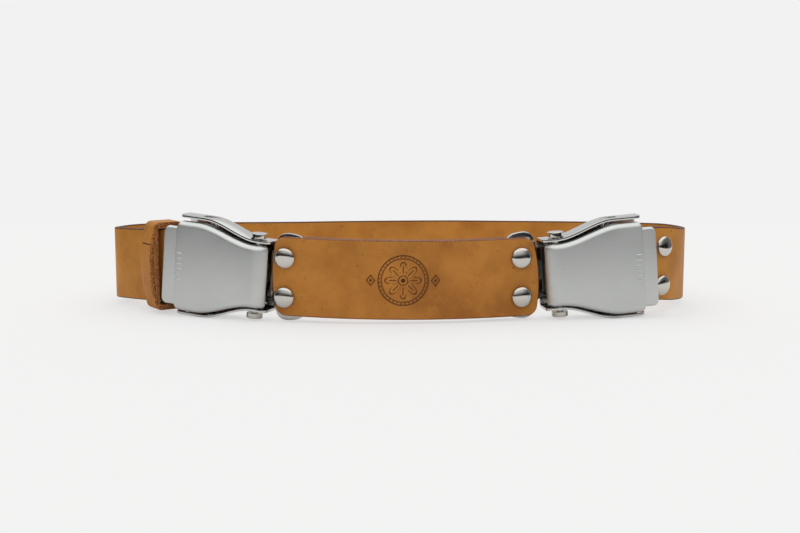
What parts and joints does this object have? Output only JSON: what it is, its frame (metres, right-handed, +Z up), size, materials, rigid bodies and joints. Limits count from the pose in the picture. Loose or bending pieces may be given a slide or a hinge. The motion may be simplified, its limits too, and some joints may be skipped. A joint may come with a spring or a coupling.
{
  "type": "lift-lever buckle belt",
  "caption": "Wide leather waist belt, closed, with lift-lever steel buckles either side of a riveted leather panel, and a leather keeper.",
  "frame": {"origin": "middle of the belt's outline in plan, on the surface it stands on", "axes": "+X to the right along the belt's greatest width, -Y towards the viewer in front of the riveted panel, +Z up across the strap's width"},
  "size_m": [0.3922, 0.1645, 0.0665],
  "materials": {
    "tan_leather": "smooth tan bridle leather",
    "raw_leather": "tan leather with raw edges",
    "satin_steel": "satin",
    "chrome": "polished",
    "nickel": "polished nickel"
  },
  "bodies": {
    "belt": {"main_strap": "tan_leather", "keeper": "raw_leather", "panel_front_ply": "tan_leather", "panel_back_ply": "tan_leather", "left_tongue": "chrome", "right_tongue": "chrome", "left_frame": "chrome", "right_frame": "chrome", "left_hinge_pin": "nickel", "right_hinge_pin": "nickel", "left_strap_bar": "nickel", "right_strap_bar": "nickel", "panel_rivet_left_upper": "nickel", "panel_rivet_left_lower": "nickel", "panel_rivet_right_upper": "nickel", "panel_rivet_right_lower": "nickel", "strap_rivet_upper": "nickel", "strap_rivet_lower": "nickel"},
    "left_cover": {"left_lever": "satin_steel"},
    "right_cover": {"right_lever": "satin_steel"}
  },
  "joints": [
    {"name": "left_lever_hinge", "type": "hinge", "parent": "belt", "child": "left_cover", "pos_m": [-0.0913, -0.06875, 0.02938], "axis": [0.0775, -0.0316, 0.9965], "range_deg": [0, 70], "stiffness_Nm_per_rad": 0.02, "springref_deg": -11.46},
    {"name": "right_lever_hinge", "type": "hinge", "parent": "belt", "child": "right_cover", "pos_m": [0.10116, -0.0639, 0.02964], "axis": [0.0757, 0.0127, -0.9971], "range_deg": [0, 70], "stiffness_Nm_per_rad": 0.02, "springref_deg": -11.46}
  ]
}
